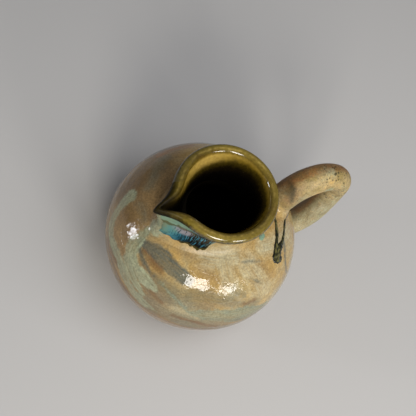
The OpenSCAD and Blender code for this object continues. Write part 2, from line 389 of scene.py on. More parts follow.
# profile points [radius, height] of a face of the collar, by its radius rule, and of its rolled lip
def facePoint(radius, t, s):
    footZ = shoulderZ(radius(t, 0 * s)) + collar["seatGap"]
    return np.stack([radius(t, s), mix(footZ, lipZ(t), s)], -1)


def lipPoint(t, a):
    o, n = outerR(t, 1.0), innerR(t, 1.0)
    r = (o + n) / 2 + (o - n) / 2 * np.cos(np.radians(a))
    return np.stack([r, lipZ(t) + collar["lipT"] / 2 * np.sin(np.radians(a))], -1)


# profile points to places round the neck, spout towards -X
def turned(p, t):
    a = np.radians(180 + collar["spoutTurn"] + t)
    return np.stack([p[..., 0] * np.cos(a), p[..., 0] * np.sin(a), p[..., 1]], -1)


def fromSpout(x, y):
    return (np.degrees(np.arctan2(y, x)) - collar["spoutTurn"]) % 360 - 180


# the collar's outer face, its foot smeared out over the shoulder in a hollow fillet that ends under the skin
def collarSkin(t, s):
    middle = np.array([shoulderOff, globe["bellyH"]])
    off = facePoint(outerR, t, s) - middle
    away = length(off)
    lift = away - globe["shoulderArc"]
    left = np.clip(1 - (lift - collar["seatGap"]) / collar["filletR"], 0, 1)
    smear = collar["filletR"] * (1 - np.sqrt(np.clip(1 - left ** 2, 0, 1)))
    angle = np.arctan2(off[..., 1], off[..., 0]) - smear / away
    away = away - collar["sunk"] * left ** 4
    return middle + away[..., None] * np.stack([np.cos(angle), np.sin(angle)], -1)


# brushwork: each stroke has a tint, a width or several widths along it, a faintness and a path, which is
# a few azimuths and heights on the globe, in degrees and millimetres; a path no higher than 1 lies on the
# collar, as angles from the spout and shares of the height

brushStrokes = [
    # the first pale strokes, high on the near shoulder, also serve as a painted sheen
    ("paleWashAndLight", 16, 0, [(243, 92), (258, 92), (274, 91.5)]),
    ("paleWashAndLight", 11, 0, [(262, 90), (266, 85), (268, 79)]),
    ("paleWashAndLight", 15, 0, [(284, 89), (288, 83), (290, 76)]),
    ("paleWashAndLight", 13, 0, [(312, 89), (326, 85), (338, 80)]),
    ("paleWashAndLight", 16, 0, [(225, 62), (240, 60), (256, 58)]),
    ("paleWashAndLight", 18, 0, [(20, 74), (45, 72), (70, 66)]),
    ("paleWashAndLight", 14, 0, [(300, 56), (322, 60), (344, 58)]),
    ("brown", 22, 0, [(174, 60), (190, 66), (205, 68), (218, 67)]),
    ("brown", 14, 3, [(176, 45), (202, 45), (230, 46), (262, 41)]),
    ("brown", 9, 5, [(190, 87), (203, 89.5), (216, 90.5), (232, 91)]),
    ("brown", 14, 2, [(28, 52), (52, 57), (80, 55)]),
    # the umber strokes darken the far upper shoulder as painted shade
    ("umberShade", 24, 0, [(106, 76), (119, 80), (134, 78), (146, 74)]),
    ("umberShade", 12, 1, [(160, 76), (172, 78), (180, 74)]),
    ("smoke", 18, 0, [(214, 72), (228, 73), (241, 75), (250, 77)]),
    ("smoke", 16, 0, [(216, 56), (234, 56), (250, 52), (268, 45)]),
    ("smoke", 12, 2, [(262, 48), (284, 48), (306, 44)]),
    ("smoke", 16, 0, [(64, 60), (84, 66), (104, 66)]),
    ("grey", [7, 11, 9], 0, [(187, 82), (201, 85), (219, 85), (233, 84)]),
    ("grey", [4, 2.4, 1.6], 0, [(189, 80), (198, 78), (207, 77), (214, 76.6)]),
    ("smoke", 10, 1.2, [(112, 82), (122, 84), (134, 86), (143, 86)]),
    ("smoke", 7, 1.6, [(158, 84), (166, 85.5), (173, 85.5)]),
    ("grey", [3, 1.6], 0, [(325, 82.2), (322, 79.7), (317.5, 76.6), (314.7, 70), (315, 62)]),
    ("grey", [3, 5.4, 3], 1.6, [(278, 90.5), (288, 89.5), (299, 87)]),
    ("grey", [4, 6, 3], 2.1, [(279, 85), (286, 82), (292, 77)]),
    ("smoke", 6, 1.6, [(261, 84), (268, 81), (276, 76)]),
    ("smoke", 13, 2.2, [(252, 77.4), (264, 75.5), (272, 72.5), (283, 68)]),
    ("smoke", 10, 1.4, [(250, 59.4), (264, 57.3), (276, 55.5)]),
    ("grey", 8, 0, [(350, 58), (10, 66), (28, 70), (44, 69)]),
    ("grey", 7, 0, [(60, 44), (78, 50), (96, 52), (118, 48)]),
    ("orange", [3, 5.5, 3], 0, [(193, 80.5), (204, 81), (215, 81)]),
    ("orange", 4.5, 0, [(172, 53), (178, 51.5), (186, 51), (195, 49), (203, 46)]),
    ("orange", 3, 0, [(179, 56), (185, 57.4), (191, 57.2)]),
    ("orange", 2.8, 0, [(198, 67), (202, 66.8)]),
    ("orange", 2.8, 0, [(213, 68), (219, 66.4), (225, 64.5)]),
    ("orange", [3, 4, 3], 0, [(233, 58), (247, 57), (262, 50)]),
    ("rust", 10, 0, [(108, 75.5), (100, 76), (88, 77.3)]),
    ("orange", 6, 1, [(150, 54), (128, 58), (104, 62)]),
    ("orange", 2.6, 0, [(275, 71), (284, 71)]),
    ("orange", 5, 0, [(20, 55), (38, 60), (57, 60)]),
    ("orange", 6, 0, [(300, 40), (318, 44), (336, 42)]),
    ("sage", [9, 8, 7, 7, 8], 0, [(150.5, 77.4), (155, 72.6), (159, 67.8), (163.5, 63.4),
                                  (169, 60.6), (176, 60), (184, 61.5)]),
    ("sage", [6, 8, 8, 7], 0, [(176, 61.5), (184, 63), (194, 60), (205, 54), (216, 51)]),
    ("sage", [5, 8, 10, 9, 5], 0, [(181, 88), (184, 82), (187, 76), (192, 72.5),
                                   (200, 71), (208, 71), (218, 70.5)]),
    ("sage", [5, 7, 6], 0, [(189, 68.5), (197, 66), (204, 63.5), (212, 61)]),
    ("sage", 7, 1.4, [(203, 57), (213, 55.5), (224, 53)]),
    ("sage", 10, 0, [(3, 0.98), (2.5, 0.5), (1.5, 0.1), (0, 0)]),
    ("sage", 7, 0, [(330, 50), (345, 55), (2, 57), (20, 55)]),
    ("sage", 6, 0, [(40, 82), (58, 79), (72, 72), (84, 62)]),
    ("sage", 8, 0, [(110, 30), (135, 36), (160, 37), (185, 32)]),
    ("pale", [2, 1.8, 2.4], 0, [(215, 76), (221, 75.4), (229, 73), (236, 69), (242, 65.7)]),
    ("pale", [3, 13, 15, 12], 0, [(241, 66), (250, 66), (262, 65), (275, 61), (290, 56)]),
    ("pale", 6, 0, [(5, 42), (25, 47), (45, 46), (66, 39)]),
    ("pale", [9, 9, 5], 0, [(3, 0.98), (2.5, 0.6), (2, 0.25)]),
    ("dark", [2.4, 1.6], 0, [(351, 79.5), (347, 81.6), (341, 83)]),
]

# washes in the order in which they lie: dark and pale colour, cover, loss of cover in the core, softness and
# raggedness of the edge in millimetres, and streakiness
washes = dict(
    # the pale wash is grey-green mottling; high on the near shoulder and on the handle's lower limb it also
    # serves as painted light
    paleWashAndLight=("#9a957a", "#b7b59a", 0.75, 0, 6, 12, 0.5),
    brown=("#6d5335", "#a2865c", 1, 0, 5, 10, 0.2),
    # umber is painted shade on the far upper shoulder
    umberShade=("#2c1a0d", "#48301b", 0.5, 0, 5, 10, 0.4),
    smoke=("#5c5845", "#7f7a64", 0.85, 0, 4, 10, 0.3),
    grey=("#444841", "#61655b", 1, 0.1, 1.4, 4, 0.25),
    orange=("#573d26", "#82603a", 0.9, 0, 1.6, 5, 0.35),
    rust=("#674223", "#a46e36", 0.85, 0, 2.2, 6, 0.35),
    sage=("#7d836a", "#abb191", 1, 0.12, 1.4, 4.4, 0.25),
    pale=("#626a58", "#848f7b", 0.95, 0.15, 1.8, 6, 0.25),
    dark=("#23241a", "#45442e", 0.9, 0, 0.6, 1.6, 0.3),
)
unpainted = -8.0  # a field tells how many millimetres a point lies inside its wash
brushHand = dict(steps=14, sway=0.14, swayLength=4.5, dryEnd=1.5, wetEdge=-1.5, strokesApart=7.3,
                 bareAround=40, bareAcross=2.5)


def smoothPath(points, steps):
    p = np.asarray(points, float)
    p = np.concatenate([[2 * p[0] - p[1]], p, [2 * p[-1] - p[-2]]])
    u = np.linspace(0, 1, steps, endpoint=False)[:, None]
    bends = []
    for a, b, c, d in zip(p, p[1:], p[2:], p[3:]):
        square, cube = 2 * a - 5 * b + 4 * c - d, 3 * b - a - 3 * c + d
        bends.append(0.5 * (2 * b + (c - a) * u + square * u ** 2 + cube * u ** 3))
    return np.concatenate(bends + [p[-2:-1]])


def strokeLine(path):
    path = np.asarray(path, float)
    if path[:, 1].max() <= 1:
        t, s = smoothPath(path, brushHand["steps"]).T
        return turned(facePoint(outerR, t, s), t)
    path[:, 0] = np.degrees(np.unwrap(np.radians(path[:, 0])))  # a stroke may cross the handle's side
    return onGlobe(*smoothPath(path, brushHand["steps"]).T)


# fields of every stroke at the given places, and where along and across its stroke each place lies
def strokeFields(spots):
    hand = brushHand
    fields = {tint: np.full(len(spots), unpainted) for tint in washes}
    # bare clay takes streaks that run round the pot
    bearing = np.arctan2(spots[:, 1], spots[:, 0])
    outward = np.hypot(spots[:, 0], spots[:, 1]) - shoulderOff
    climb = globe["shoulderArc"] * np.arctan2(spots[:, 2] - globe["bellyH"], outward)
    brush = np.stack([hand["bareAround"] * np.sin(bearing), climb, hand["bareAcross"] * np.cos(bearing)], 1)
    for number, (tint, width, faint, path) in enumerate(brushStrokes):
        line = strokeLine(path)
        widths = np.atleast_1d(width)
        reach = widths.max() / 2 - unpainted
        near = np.all((spots > line.min(0) - reach) & (spots < line.max(0) + reach), 1).nonzero()[0]
        if not len(near):
            continue
        step = unit(np.gradient(line, axis=0))
        along = alongLine(line)
        gap = spots[near, None] - line
        apart = length(gap)
        nearest = apart.argmin(1)
        rows = np.arange(len(near))
        gap, apart, way = gap[rows, nearest], apart[rows, nearest], step[nearest]
        ahead = (gap * way).sum(1)
        inner = (nearest > 0) & (nearest < len(line) - 1)
        beside = np.sqrt(np.maximum(apart ** 2 - ahead ** 2, 0))
        apart = np.where(inner, beside, apart)
        side = np.sign((np.cross(way, gap) * spots[near]).sum(1))
        place = along[nearest] + ahead
        halfWidth = np.interp(place / along[-1], np.linspace(0, 1, len(widths)), widths) / 2
        dry = 1 - smooth(0, widths.max(), along[-1] - place + halfWidth)
        sway = 1 + hand["sway"] * np.sin(place / hand["swayLength"] + number)
        field = halfWidth * sway - apart - hand["dryEnd"] * dry - faint
        wet = field > hand["wetEdge"]
        layer = np.full(len(near), hand["strokesApart"] * number)
        brush[near[wet]] = np.stack([place, side * beside, layer], 1)[wet]
        fields[tint][near] = np.maximum(fields[tint][near], field)
    return fields, brush


# a wide iron wash covers the side left of the spout, its brown made darker as painted shade on that side
ironWashAndShade = dict(fromAzimuth=104, toAzimuth=187, degreesPerMm=5, lowest=57, softLow=1.5)
# the glaze is dry on the collar and for a little way round its foot, but wet along the keel
dryFoot = dict(reach=9, keelHalf=9, keelWet=0.9)


def paintClay(mesh, specks, dry=0, ontoGlobe=False):
    wash = ironWashAndShade
    spots = places(mesh)
    if ontoGlobe:
        spots = droppedOn(spots)
    fields, brush = strokeFields(spots)
    azimuth = np.degrees(np.arctan2(spots[:, 1], spots[:, 0])) % 360
    inWash = np.minimum(azimuth - wash["fromAzimuth"], wash["toAzimuth"] - azimuth) / wash["degreesPerMm"]
    inWash = np.minimum(inWash, (spots[:, 2] - wash["lowest"]) / wash["softLow"])
    fields["brown"] = np.maximum(fields["brown"], np.clip(inWash, unpainted, -unpainted))
    t = fromSpout(spots[:, 0], spots[:, 1])
    offFoot = np.hypot(spots[:, 0], spots[:, 1]) - outerR(t, 0)
    dryness = np.maximum(dry, 1 - smooth(0, dryFoot["reach"], offFoot))
    dryness = dryness * (1 - dryFoot["keelWet"] * hill(t, 0, dryFoot["keelHalf"]))
    setValues(mesh, **fields, brush=brush, specks=np.full(len(spots), specks), dry=dryness)


# materials

def perMm(size):
    return 1 / (size * mm)  # texture scale for a pattern of that size


noiseSpan = (0.3, 0.7)  # nearly all values of a noise lie between these
# noises in the glaze: size in millimetres, detail and roughness
clayNoises = dict(mottle=(3.5, 4, 0.6), grain=(1.1, 2, 0.5), swell=(9, 2, 0.5), peel=(1.9, 1, 0.5))
bodyGlaze = dict(
    cloud=(24, 4, 0.5), clouds=[(0.32, "#967a4b"), (0.7, "#b59559"), (0.46, "#a88c56"), (0.56, "#a89467")],
    grain=(0.76, 1.2), gloss=(0.04, 0.1), peel=0.1, ridges=0.04, pits=0.03, lowShade=1)
handleGlaze = dict(
    cloud=(6, 4, 0.5), clouds=[(0.3, "#87754a"), (0.72, "#c0a062"), (0.44, "#9d8955"), (0.56, "#a89467")],
    grain=(0.72, 1.22), gloss=(0.45, 0.65), peel=0.16, ridges=0.06, pits=0.06, lowShade=0)
# millimetres for a brush strand, the specks' spacing, the swells, where painted shade darkens the lower body
# and where the glaze is wiped;
# tints, and limits between which an effect comes in
clayLook = dict(
    strand=16, strandWidth=1.5, specks=2.2, swell=0.66, shadingFrom=64, shadingTo=26, wipedWave=2, wipedTo=2.6,
    glazedFrom=3.2, dull=0.3, bareRough=0.85, speckTint="#35301d", lowShadeTint="#bfae9c", bareTint="#8d7354",
    patchy=(0.35, 0.55, 0.75, 1), washCore=(0.8, 3, 1), washStreaks=(0.35, 0.6), mottled=(0.87, 1.12),
    streaked=(0.94, 1.06), speckEdge=(0, 0.08, 0, 0.8), boiled=(-2, 4, 0.3, 1))


# stoneware with a thin tan glaze and brushed washes: the eye sees streaks that follow the brush,
# clouded tan between them, fine iron specks, and a gloss broken by the glaze's uneven skin
def brushedStoneware(name, look):
    clay = clayLook
    material, add = newMaterial(name)
    spot = add("TexCoord", out=3)
    mottle, grain, swell, peel, cloud = [
        add("TexNoise", {"Vector": spot, "Scale": perMm(size), "Detail": detail, "Roughness": rough})
        for size, detail, rough in (*clayNoises.values(), look["cloud"])]
    specks, dry, iron = [
        add("Attribute", out=2, attribute_name=field) for field in ("specks", "dry", "brown")]
    brush = add("Attribute", out=1, attribute_name="brush")
    strand = add("VectorMath MULTIPLY", brush, (1 / clay["strand"], 1 / clay["strandWidth"], 1))
    streak = add("TexNoise", {"Vector": strand, "Scale": 1, "Detail": 3})
    colour = add("ValToRGB", cloud, stops=look["clouds"])
    ragged = add("Math ADD", mottle, -0.5)
    patchy = add("MapRange", cloud, *clay["patchy"])
    for wash, (dark, pale, most, coreLoss, soft, wander, streaky) in washes.items():
        field = add("Attribute", out=2, attribute_name=wash)
        edge = add("Math MULTIPLY_ADD", ragged, wander, field)
        cover = add("MapRange SMOOTHSTEP", edge, -soft, soft, 0, most)
        core = add("MapRange", edge, *clay["washCore"], 1 - coreLoss)
        thin = add("MapRange", streak, *clay["washStreaks"], 1 - streaky, 1)
        for share in (core, thin, patchy):
            cover = add("Math MULTIPLY", cover, share)
        tint = add("Mix RGBA", streak, {6: dark, 7: pale}, out=2)
        colour = add("Mix RGBA", cover, {6: colour, 7: tint}, out=2)
    light = 1.0
    for value, limits in ((mottle, clay["mottled"]), (grain, look["grain"]), (streak, clay["streaked"])):
        light = add("Math MULTIPLY", light, add("MapRange", value, *noiseSpan, *limits))
    colour = add("VectorMath SCALE", colour, {"Scale": light})
    cells = add("TexVoronoi", {"Vector": spot, "Scale": perMm(clay["specks"])})
    speck = add("Math SUBTRACT", add("Math MULTIPLY", specks, mottle), cells)
    speck = add("MapRange", speck, *clay["speckEdge"])
    colour = add("Mix RGBA", speck, {6: colour, 7: clay["speckTint"]}, out=2)
    # painted shade darkens the glaze towards the foot, which is wiped clean of it
    height = add("SeparateXYZ", spot, out=2)
    lowShade = add("MapRange", height, clay["shadingFrom"] * mm, clay["shadingTo"] * mm, 0, look["lowShade"])
    colour = add("Mix RGBA", lowShade, {6: colour, 7: clay["lowShadeTint"]}, out=2, blend_type="MULTIPLY")
    wiped = add("Math MULTIPLY_ADD", ragged, clay["wipedWave"] * mm, height)
    glazed = add("MapRange", wiped, clay["wipedTo"] * mm, clay["glazedFrom"] * mm)
    colour = add("Mix RGBA", glazed, {6: clay["bareTint"], 7: colour}, out=2)
    gloss = add("MapRange", mottle, *noiseSpan, *look["gloss"])
    gloss = add("Math MULTIPLY_ADD", dry, clay["dull"], gloss)
    rough = add("Mix", glazed, {2: clay["bareRough"], 3: gloss})
    # iron washes boil a little in the kiln, which leaves them uneven and pitted
    boiled = add("MapRange", iron, *clay["boiled"])
    swell, pits = [add("Math MULTIPLY", value, boiled) for value in (swell, grain)]
    normal = None
    for skin, depth in ((swell, clay["swell"]), (peel, look["peel"]), (streak, look["ridges"]),
                        (pits, look["pits"])):
        normal = add("Bump", {"Strength": 1, "Distance": depth * mm, "Height": skin, "Normal": normal})
    endMaterial(add, {"Base Color": colour, "Roughness": rough, "Normal": normal})
    return material


# noise sizes in millimetres, colours by the depth in from the crown, falling to near black deep inside as
# painted shade, tints, and limits as before
oliveLook = dict(
    runStretch=0.22, rivulet=2.4, cloud=10, mottle=1.8, wander=4, depthSpan=(-9, 27),
    depths=[(0.0, "#0f0d07"), (1.0, "#040302"), (0.11, "#231e0a"), (0.15, "#4d4214"), (0.2, "#82712e"),
            (0.27, "#766424"), (0.33, "#5f4e14"), (0.43, "#957c33"), (0.53, "#77611c"), (0.63, "#3a2f09"),
            (0.76, "#140f04"), (0.88, "#070503")],
    goldBreakAndHighlight="#a08a45", goldOff=-1.9, goldWander=3, goldEdge=(0.9, 0.2, 0, 0.7), goldRivulets=(0.4, 0.56),
    # the thin tint is painted light on the far inner wall; rust is the glaze's own
    rust="#4f2c0c", rustClouds=(0.55, 0.7, 0, 0.3), rustDepth=(13, 7), thin="#bb9e52", farLightShare=0.6,
    tipDark=(0.05, 0.9, 1, 0.25), tipDarker=(0.86, 0.99, 1, 0.25), flecks=(0.32, 0.66, 0.82, 1.14),
    rough=(0.1, 0.18), tipDull=(0.45, 1, 0, 0.35), slopeDull=(-4.5, -6.5, 0, 0.35), swell=0.25, peel=0.05)


# thick olive-amber glaze: glossy and mottled, pale gold where it thins over the lip's inner edge, a line that
# also serves as a painted highlight, dark where it gathers at its hem, and near black deep inside as painted
# shade
def oliveAmber(name, specular):
    look = oliveLook
    material, add = newMaterial(name)
    spot = add("TexCoord", out=3)
    runny = add("VectorMath MULTIPLY", spot, (1, 1, look["runStretch"]))
    rivulet, cloud, mottle = [
        add("TexNoise", {"Vector": vector, "Scale": perMm(look[size]), "Detail": 3})
        for vector, size in ((runny, "rivulet"), (spot, "cloud"), (spot, "mottle"))]
    depth, thin, tip = [
        add("Attribute", out=2, attribute_name=field) for field in ("fromCrown", "thin", "tip")]
    uneven = add("Math ADD", add("Math ADD", rivulet, cloud), -1)
    share = add("MapRange", add("Math MULTIPLY_ADD", uneven, look["wander"], depth), *look["depthSpan"])
    # colour by depth: its near-black end deep inside is painted shade
    colour = add("ValToRGB", share, stops=look["depths"])
    # the glaze breaks to pale gold along the inner edge, in rivulets, a line that is also a painted highlight
    # along the crest
    edge = add("Math MULTIPLY_ADD", cloud, look["goldWander"], depth)
    edge = add("Math ABSOLUTE", add("Math ADD", edge, look["goldOff"]))
    edge = add("MapRange", edge, *look["goldEdge"])
    broken = add("MapRange", rivulet, *look["goldRivulets"])
    rusty = add("MapRange", cloud, *look["rustClouds"])
    shallow = add("MapRange", depth, *look["rustDepth"])
    # the thin layer is painted light on the far inner wall
    layers = ((edge, broken, "goldBreakAndHighlight"), (rusty, shallow, "rust"), (thin, look["farLightShare"], "thin"))
    for cover, share, tint in layers:
        cover = add("Math MULTIPLY", cover, share)
        colour = add("Mix RGBA", cover, {6: colour, 7: look[tint]}, out=2)
    # it is darkest at the spout's tip, with painted shade on the outer slope beside it and on the lip's
    # sides, and flecked everywhere
    light = 1.0
    for value, limits in ((tip, "tipDark"), (tip, "tipDarker"), (mottle, "flecks")):
        light = add("Math MULTIPLY", light, add("MapRange", value, *look[limits]))
    colour = add("VectorMath SCALE", colour, {"Scale": light})
    # it is dull at the tip and on the outer slope
    rough = add("MapRange", rivulet, *noiseSpan, *look["rough"])
    for value, limits in ((tip, "tipDull"), (depth, "slopeDull")):
        rough = add("Math ADD", rough, add("MapRange", value, *look[limits]))
    normal = None
    for skin, depth in ((cloud, look["swell"]), (mottle, look["peel"])):
        normal = add("Bump", {"Strength": 1, "Distance": depth * mm, "Height": skin, "Normal": normal})
    endMaterial(add, {"Base Color": colour, "Roughness": rough, "Normal": normal,
                      "Specular IOR Level": specular})
    return material


# the liner's near-black tints are painted shade for the unlit inside
linerLook = dict(cloud=14, tints=[(0.3, "#050402"), (0.7, "#0e0a04")], rough=(0.2, 0.35), specular=0.1)


# the same melt poured inside: thick and wet-looking, its brown-black a painted shade for the unlit hollow
def linerGlaze():
    material, add = newMaterial("linerGlazeInPaintedShade")
    spot = add("TexCoord", out=3)
    cloud = add("TexNoise", {"Vector": spot, "Scale": perMm(linerLook["cloud"]), "Detail": 3})
    colour = add("ValToRGB", cloud, stops=linerLook["tints"])
    rough = add("MapRange", cloud, *noiseSpan, *linerLook["rough"])
    endMaterial(add, {"Base Color": colour, "Roughness": rough, "Specular IOR Level": linerLook["specular"]})
    return material


# strands run down the neck and level ones round it, as sizes across and along in millimetres; clouds are
# counted per millimetre, and places are shares of the run's width and height; each layer has a colour, a
# cover, and values that bring it from none to all between two limits
copperLook = dict(
    strand=(0.62, 10), level=(14, 1.3), clouds=0.22, acrossWander=0.35, upWander=0.4, lean=-0.2, leanOff=0.08,
    patchAt=(0.32, 0.5, 0), farOff=-0.62, ridges=0.12, rough=0.25, specular=0.08,
    tints=[(0.0, "#6d7e68"), (1.0, "#5f7c7c"), (0.1, "#5d857b"), (0.22, "#467d85"), (0.34, "#24596a"),
           (0.44, "#0c2a35"), (0.54, "#050a0a"), (0.88, "#060704"), (0.96, "#2c2d17")],
    layers=[
        ("#0a2129", 0.8, [("streak", 0.48, 0.4), ("lean", 0.05, 0.25), ("lean", 0.6, 0.45)]),
        ("#3f8aa2", 0.8, [("streak", 0.53, 0.62), ("lean", 0.3, 0.42), ("lean", 0.98, 0.86),
                          ("up", 0.02, 0.2), ("up", 0.76, 0.6)]),
        ("#8b878e", 0.9, [("patch", 0.24, 0.1), ("streak", 0.34, 0.5)]),
        ("#75907b", 0.9, [("up", 0.64, 0.72), ("level", 0.36, 0.48), ("lean", 0.5, 0.3)]),
        ("#6b8f9a", 0.85, [("up", 0.66, 0.76), ("level", 0.4, 0.62), ("lean", 0.3, 0.45)]),
        ("#4a4420", 0.75, [("farLine", 0.1, 0.03), ("lean", 0.62, 0.45)]),
        ("#4a421a", 0.8, [("height", 0.075, 0.015), ("lean", 0.3, 0.55), ("lean", 1.1, 0.95)]),
    ])


# runny copper glaze: sage and turquoise where it lies thin, combed blue-black where it ran thick
def copperRun():
    look = copperLook
    material, add = newMaterial("runnyCopperGlaze")
    flow, place = [add("Attribute", out=1, attribute_name=field) for field in ("flow", "place")]
    strand, level = [
        add("VectorMath MULTIPLY", flow, (1 / across, 1 / along, 1))
        for across, along in (look["strand"], look["level"])]
    streak, level, cloud = [
        add("TexNoise", {"Vector": vector, "Scale": scale, "Detail": detail})
        for vector, scale, detail in ((strand, 1, 2), (level, 1, 2), (flow, look["clouds"], 3))]
    aroundShare, height, _ = add("SeparateXYZ", place).node.outputs
    wander = add("Math ADD", cloud, -0.5)
    across = add("Math MULTIPLY_ADD", wander, look["acrossWander"], aroundShare)
    lean = add("Math ADD", add("Math MULTIPLY_ADD", height, look["lean"], across), look["leanOff"])
    up = add("Math MULTIPLY_ADD", wander, look["upWander"], height)
    patch = add("VectorMath DISTANCE", place, look["patchAt"], out=1)
    farLine = add("Math ABSOLUTE", add("Math ADD", up, look["farOff"]))
    values = dict(streak=streak, level=level, lean=lean, up=up, patch=patch, farLine=farLine, height=height)
    colour = add("ValToRGB", lean, stops=look["tints"])
    for tint, cover, shares in look["layers"]:
        for value, none, full in shares:
            cover = add("Math MULTIPLY", cover, add("MapRange SMOOTHSTEP", values[value], none, full))
        colour = add("Mix RGBA", cover, {6: colour, 7: tint}, out=2)
    normal = add("Bump", {"Strength": 1, "Distance": look["ridges"] * mm, "Height": streak})
    endMaterial(add, {"Base Color": colour, "Roughness": look["rough"], "Normal": normal,
                      "Specular IOR Level": look["specular"]})
    return material


runLook = dict(cloud=3, rough=0.12, ior=1.55,
               tints=[(0.1, "#0e100a"), (0.64, "#6b6538"), (0.36, "#191c12"), (0.49, "#38381f")])


# dark run glaze: green-black at its edges, olive where the light gets through the middle
def darkRun():
    material, add = newMaterial("greenBlackRunGlaze")
    spot = add("TexCoord", out=3)
    cloud = add("TexNoise", {"Vector": spot, "Scale": perMm(runLook["cloud"]), "Detail": 3})
    middle = add("Attribute", out=2, attribute_name="middle")
    colour = add("ValToRGB", add("Math MULTIPLY", cloud, middle), stops=runLook["tints"])
    endMaterial(add, {"Base Color": colour, "Roughness": runLook["rough"], "IOR": runLook["ior"]})
    return material


stoneware = brushedStoneware("brushedStonewareGlaze", bodyGlaze)
dryStoneware = brushedStoneware("dryStonewareGlaze", handleGlaze)
oliveGlaze = oliveAmber("oliveAmberGlaze", specular=0.85)
hemGlaze = oliveAmber("dryOliveHemGlaze", specular=0.08)
liner = linerGlaze()
copperGlaze = copperRun()
runGlaze = darkRun()
print("materials made")


# body: a profile spun round the axis

bodyLook = dict(segments=520, shoulderRows=84, haunchRows=64, innerRows=14, ringSpacing=7.0, ringDepth=0.035,
                ringFade=12, wobble=0.7, wobbleSize=60, throatMargin=0.5, specks=0.22)


def arcPoints(off, arc, fromAngle, toAngle, count):
    return onArc(0, np.linspace(fromAngle, toAngle, count), off, arc)


def bodyProfile():
    g, look, edge = globe, bodyLook, globe["edge"]
    footInner = g["footR"] - g["footW"]
    footAngle = -math.degrees(math.acos((g["footR"] - haunchOff) / g["haunchArc"]))
    topAngle = math.degrees(math.acos((g["throatR"] - shoulderOff) / g["shoulderArc"]))
    innerShoulder = g["shoulderArc"] - g["wall"]
    innerHaunch = g["haunchArc"] - g["wall"]
    floorTop = g["recess"] + g["floorT"]
    innerTop = math.degrees(math.acos((g["throatR"] - shoulderOff) / innerShoulder))
    innerLow = -math.degrees(math.asin((g["bellyH"] - floorTop) / innerHaunch))
    base = inPlane([
        (0, g["recess"]), (footInner / 2, g["recess"]), (footInner - edge, g["recess"]),
        (footInner, g["recess"] - edge), (footInner, edge), (footInner + edge, 0),
        (g["footR"] - edge, 0), (g["footR"], edge)])
    haunch = arcPoints(haunchOff, g["haunchArc"], footAngle, 0, look["haunchRows"])
    shoulder = arcPoints(shoulderOff, g["shoulderArc"], 0, topAngle, look["shoulderRows"])[1:]
    skin = np.concatenate([haunch, shoulder])
    along = alongLine(skin)
    fade = smooth(0, look["ringFade"], along) * smooth(0, look["ringFade"], along[-1] - along)
    skin[:, 0] += look["ringDepth"] * fade * np.sin(2 * np.pi * along / look["ringSpacing"])
    inside = np.concatenate([
        arcPoints(shoulderOff, innerShoulder, innerTop, 0, look["innerRows"]),
        arcPoints(haunchOff, innerHaunch, 0, innerLow, look["innerRows"])[1:]])
    return np.concatenate([base, skin, inside, [(0, 0, floorTop)]])


def latheTree():
    tree, add, given = newTree("spinProfile", {"Segments": "Int", "Rows": "Int", "Wobble": "Float",
                                               "Wobble Scale": "Float"})
    columns = add("Math ADD", given["Segments"], 1)
    grid = add("MeshGrid", {"Size X": 1, "Size Y": 1, "Vertices X": columns, "Vertices Y": given["Rows"]})
    here = add("InputPosition")
    spot = add("SeparateXYZ", here).node.outputs
    share = add("Math ADD", spot[1], 0.5)
    lastRow = add("Math ADD", given["Rows"], -1)
    row = add("Math ROUND", add("Math MULTIPLY", share, lastRow))
    profile = add("SampleIndex", given["Geometry"], here, {"Index": row}, data_type="FLOAT_VECTOR")
    angle = add("Math MULTIPLY", spot[0], 2 * math.pi)
    spun = add("VectorRotate", {"Vector": profile, "Angle": angle}, rotation_type="Z_AXIS")
    # hand-made unevenness: a slow noise swells and draws in the wall, most at the belly
    noise = add("TexNoise", {"Vector": spun, "Scale": given["Wobble Scale"], "Detail": 1})
    swell = add("Math MULTIPLY", add("Math ADD", noise, -0.5), given["Wobble"])
    flat = add("VectorMath MULTIPLY", spun, (1, 1, 0))
    push = add("VectorMath SCALE", flat, {"Scale": swell})
    moved = add("SetPosition", grid, {"Position": spun, "Offset": push})
    closed = add("MergeByDistance", moved, {"Distance": 1e-6})
    endTree(add, closed, given["Material"])
    return tree


# inside faces take the near-black liner, painted shade for the hollow
def glazeInside(mesh, isInside):
    mesh.materials.clear()
    for material in (stoneware, liner):
        mesh.materials.append(material)
    centres = np.empty(len(mesh.polygons) * 3)
    mesh.polygons.foreach_get("center", centres)
    inside = isInside(*(centres.reshape(-1, 3) / mm).T)
    mesh.polygons.foreach_set("material_index", inside.astype(np.int32))


def insideBody(x, y, z):
    hollow = outsideGlobe(np.stack([x, y, z], -1)) < -globe["wall"] / 2
    throat = np.hypot(x, y) < collar["footR"] - bodyLook["throatMargin"]
    return (z > globe["recess"] + globe["floorT"] / 2) & (hollow | throat)


profile = bodyProfile()
body = grow("thrownBody", lineMesh("bodyProfile", [profile]), latheTree(), {
    "Segments": bodyLook["segments"], "Rows": len(profile), "Wobble": bodyLook["wobble"] / globe["bellyR"],
    "Wobble Scale": perMm(bodyLook["wobbleSize"]), "Material": stoneware})
closeShell(body, sharp=40)
paintClay(body, bodyLook["specks"])
glazeInside(body, insideBody)
finishPiece(body, "tan_stoneware", "globe")


# collar: a loft of profiles round the neck, with the pinched spout

collarLook = dict(angleSteps=360, outerSteps=40, lipSteps=10, innerSteps=8, crowding=1.6, tuckIn=1.5,
                  tuckDown=0.4, specks=0.22)


def insideCollar(x, y, z):
    t, foot = fromSpout(x, y), shoulderZ(collar["footR"])
    s = np.clip((z - foot) / (lipZ(t) - foot), 0, 1)
    return np.hypot(x, y) < (innerR(t, s) + outerR(t, s)) / 2


def overLip(t, steps):
    return lipPoint(t, 180 * np.arange(1, steps)[None, :] / steps)


